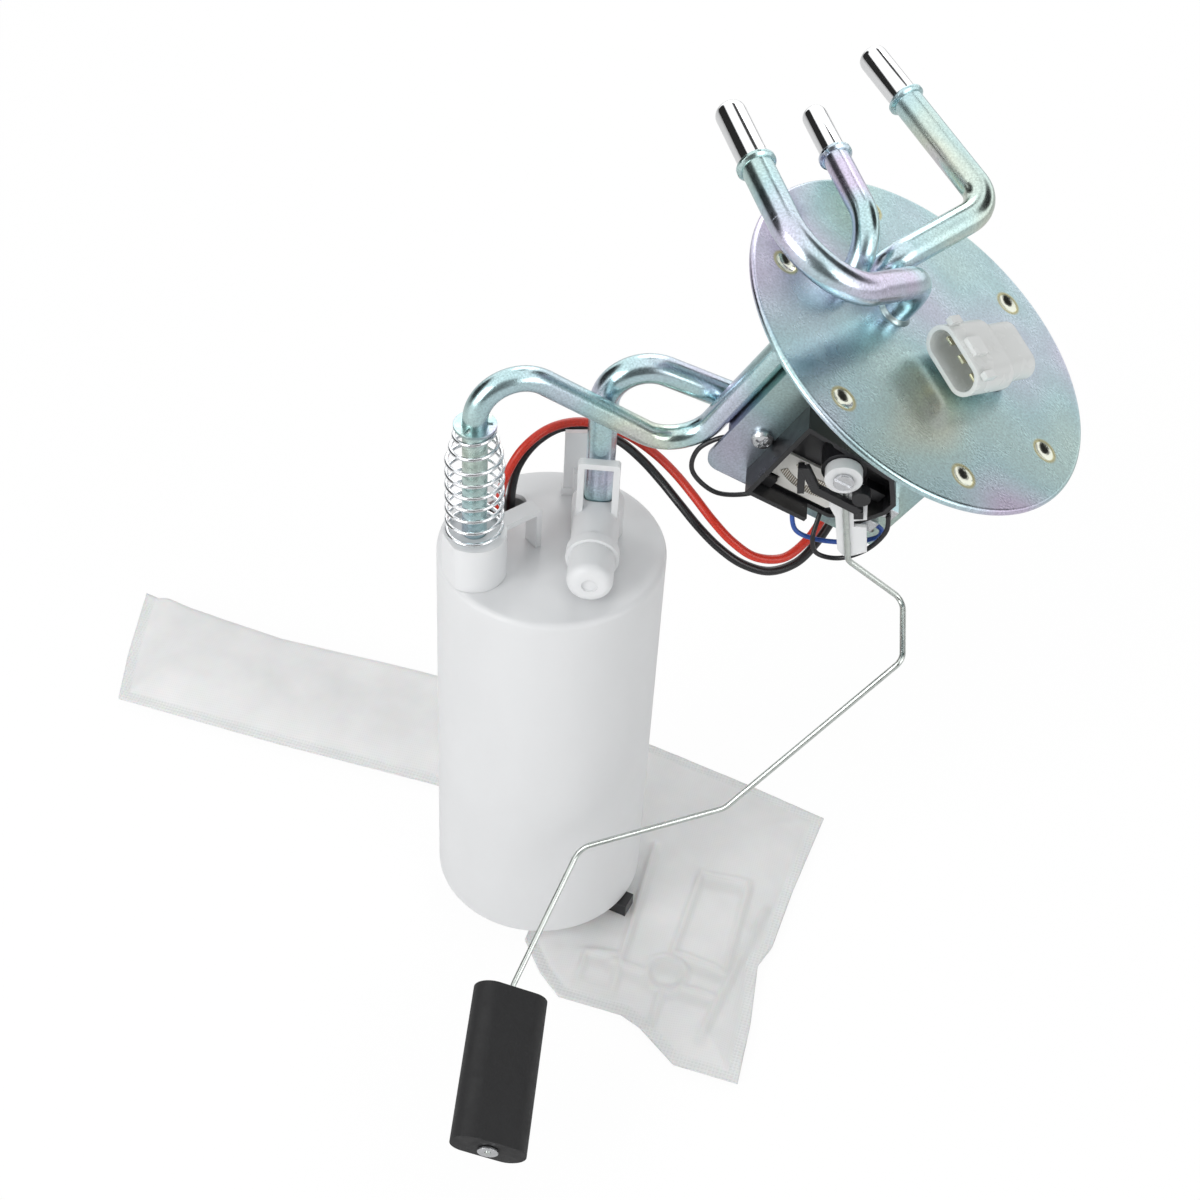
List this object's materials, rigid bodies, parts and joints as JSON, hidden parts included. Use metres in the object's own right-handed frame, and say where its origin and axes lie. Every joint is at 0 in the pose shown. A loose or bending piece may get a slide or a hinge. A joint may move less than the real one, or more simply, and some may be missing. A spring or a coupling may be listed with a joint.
{
  "type": "fuel pump module",
  "caption": "In-tank fuel pump and level sender module: round plate with bent fuel tubes and plug, sliding spring-loaded reservoir, float arm and flat filter socks",
  "frame": {"origin": "middle of the mounting plate's underside, the seat that rests on the tank", "axes": "+Z is the slide direction of the reservoir, from its foot up; the plate's outer face leans toward +X; the level sender faces -Y"},
  "size_m": [0.3661, 0.251, 0.3335],
  "materials": {
    "zinc_plate": "pale blue-green zinc plating with a faint rainbow sheen and fine grain",
    "plated_tube": "zinc plated steel tube, bright chrome toward the open ends",
    "braze": "brazed fillet, dull pale gold",
    "clear_nylon": "translucent natural nylon",
    "tinned_brass": "tinned brass",
    "seal_rubber": "black rubber",
    "black_plastic": "black moulded plastic, half gloss",
    "ceramic": "white ceramic card",
    "silver_ink": "fired silver ink",
    "steel": "bright steel",
    "blue_wire": "blue insulation",
    "black_wire": "black insulation",
    "red_wire": "red insulation",
    "spring_steel": "bright spring steel",
    "white_plastic": "translucent natural plastic, satin",
    "pump_steel": "plated steel can",
    "filter_cloth": "white woven filter cloth",
    "cream_plastic": "cream moulded plastic",
    "arm_wire": "zinc plated wire",
    "float_foam": "black closed-cell foam, dead matt"
  },
  "bodies": {
    "hanger": {"flange_plate": "zinc_plate", "feed_tube": "plated_tube", "return_tube": "plated_tube", "vapour_tube": "plated_tube", "braze_rings": "braze", "connector_shell": "clear_nylon", "connector_terminals": "tinned_brass", "connector_seal": "seal_rubber", "bracket_plate": "zinc_plate", "sender_frame": "black_plastic", "resistor_card": "ceramic", "resistor_track": "silver_ink", "sender_screws": "steel", "sender_rivet": "steel", "sender_terminals": "tinned_brass", "pivot_pin": "steel", "sender_wire_blue": "blue_wire", "sender_wire_left": "black_wire", "sender_wire_right": "black_wire", "pump_wire_red": "red_wire", "pump_wire_black": "black_wire", "spring_retainer": "zinc_plate"},
    "reservoir": {"spring": "spring_steel", "reservoir_shell": "white_plastic", "reservoir_base": "white_plastic", "guide_boss": "white_plastic", "outlet_fitting": "white_plastic", "fitting_cap": "white_plastic", "upright_tab": "white_plastic", "pump_case": "pump_steel", "pump_end_top": "black_plastic", "pump_end_bottom": "black_plastic", "pump_isolator": "seal_rubber", "inner_hose": "seal_rubber", "hose_clamps": "steel", "strainer_neck": "black_plastic", "strainer_strip": "filter_cloth", "strainer_pad": "filter_cloth", "strainer_frame": "cream_plastic"},
    "float_arm": {"wiper_carrier": "white_plastic", "wiper_contact": "black_plastic", "float_wire": "arm_wire", "push_nut": "steel"},
    "float": {"float_body": "float_foam"}
  },
  "joints": [
    {"name": "reservoir_slide", "type": "slide", "parent": "hanger", "child": "reservoir", "axis": [0, 0, 1], "range_m": [0, 0.012], "deforming": ["spring", "pump_wire_red", "pump_wire_black"]},
    {"name": "arm_hinge", "type": "hinge", "parent": "hanger", "child": "float_arm", "pos_m": [-0.01379, -0.01068, -0.04636], "axis": [-0.2112, 0.9703, 0.118], "range_deg": [0, 70]},
    {"name": "float_swivel", "type": "hinge", "parent": "float_arm", "child": "float", "pos_m": [-0.07967, -0.13314, -0.23009], "axis": [0.204, -0.9688, -0.1407], "continuous": true}
  ]
}
